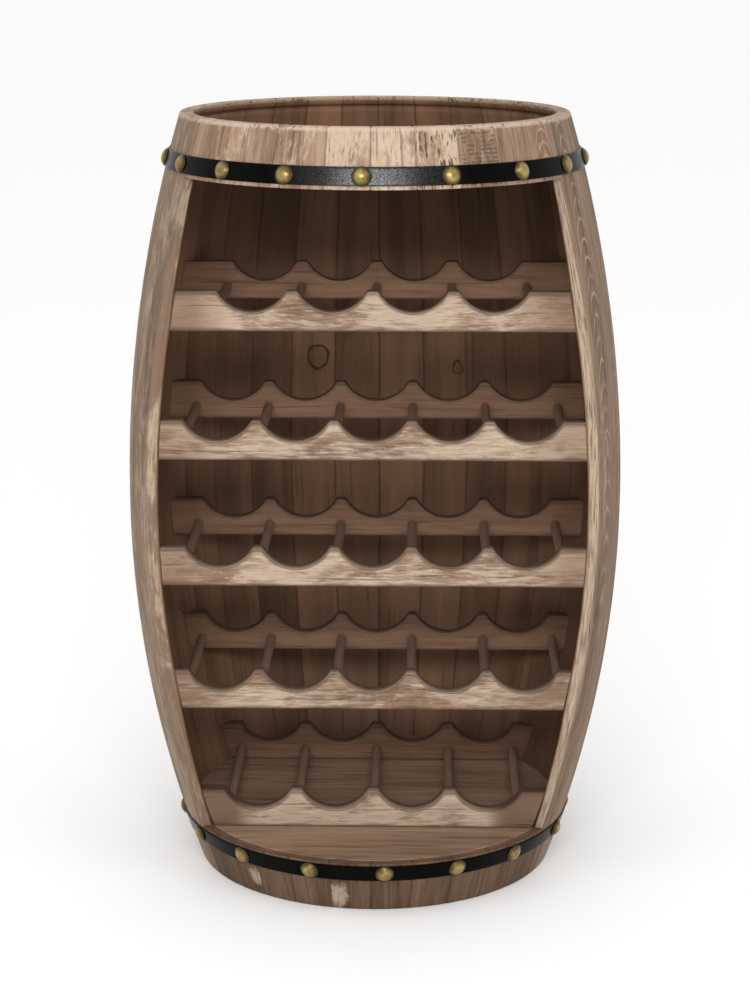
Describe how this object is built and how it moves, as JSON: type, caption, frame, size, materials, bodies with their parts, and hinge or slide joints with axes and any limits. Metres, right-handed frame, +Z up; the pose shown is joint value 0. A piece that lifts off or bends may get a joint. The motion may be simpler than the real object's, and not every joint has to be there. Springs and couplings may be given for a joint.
{
  "type": "barrel wine rack",
  "caption": "Upright bulging barrel of rustic wooden staves, cut open at the front, with tiers of scalloped rails that hold bottles lying neck forward and a recessed tray top.",
  "frame": {"origin": "on the floor, in the middle of the outline seen from above; the barrel's own axis stands 20 mm in front of it", "axes": "+Z up, the open front faces -Y, +X to the right seen from the front"},
  "size_m": [0.52, 0.48, 0.8],
  "materials": {
    "stave_wood": "rustic taupe brown wood, rubbed over with thin whitewash, matt",
    "upper_ring_wood": "rustic taupe brown wood with heavier pale patches and saw marks, matt",
    "lower_ring_wood": "darker brown wood with a few pale patches, matt",
    "whitewashed_rail_wood": "brown wood brushed along its length with thin whitewash, matt",
    "plain_rail_wood": "warm plain brown wood with pale chips, matt",
    "panel_wood": "brown boards with a dark crack or two, matt",
    "dowel_wood": "smooth grey brown wood, matt",
    "hoop_black": "flat steel band, black satin",
    "antique_brass": "dark antique brass, soft shine",
    "brad_steel": "bright steel"
  },
  "bodies": {
    "root": {"back_rail_1": "plain_rail_wood", "back_rail_2": "plain_rail_wood", "back_rail_3": "plain_rail_wood", "back_rail_4": "plain_rail_wood", "back_rail_5": "plain_rail_wood", "base_panel": "panel_wood", "front_rail_1": "whitewashed_rail_wood", "front_rail_2": "whitewashed_rail_wood", "front_rail_3": "whitewashed_rail_wood", "front_rail_4": "whitewashed_rail_wood", "front_rail_5": "whitewashed_rail_wood", "lower_hoop": "hoop_black", "lower_hoop_nails": "antique_brass", "lower_short_stave_01": "lower_ring_wood", "lower_short_stave_02": "lower_ring_wood", "lower_short_stave_03": "lower_ring_wood", "lower_short_stave_04": "lower_ring_wood", "lower_short_stave_05": "lower_ring_wood", "lower_short_stave_06": "lower_ring_wood", "lower_short_stave_07": "lower_ring_wood", "lower_short_stave_08": "lower_ring_wood", "lower_short_stave_09": "lower_ring_wood", "lower_short_stave_10": "lower_ring_wood", "panel_brads": "brad_steel", "rail_brads": "brad_steel", "spacer_dowels": "dowel_wood", "stave_01": "stave_wood", "stave_02": "stave_wood", "stave_03": "stave_wood", "stave_04": "stave_wood", "stave_05": "stave_wood", "stave_06": "stave_wood", "stave_07": "stave_wood", "stave_08": "stave_wood", "stave_09": "stave_wood", "stave_10": "stave_wood", "stave_11": "stave_wood", "stave_12": "stave_wood", "stave_13": "stave_wood", "stave_14": "stave_wood", "stave_15": "stave_wood", "stave_16": "stave_wood", "stave_17": "stave_wood", "stave_18": "stave_wood", "stave_19": "stave_wood", "stave_20": "stave_wood", "top_panel": "panel_wood", "upper_hoop": "hoop_black", "upper_hoop_nails": "antique_brass", "upper_short_stave_01": "upper_ring_wood", "upper_short_stave_02": "upper_ring_wood", "upper_short_stave_03": "upper_ring_wood", "upper_short_stave_04": "upper_ring_wood", "upper_short_stave_05": "upper_ring_wood", "upper_short_stave_06": "upper_ring_wood", "upper_short_stave_07": "upper_ring_wood", "upper_short_stave_08": "upper_ring_wood", "upper_short_stave_09": "upper_ring_wood", "upper_short_stave_10": "upper_ring_wood"}
  },
  "joints": []
}
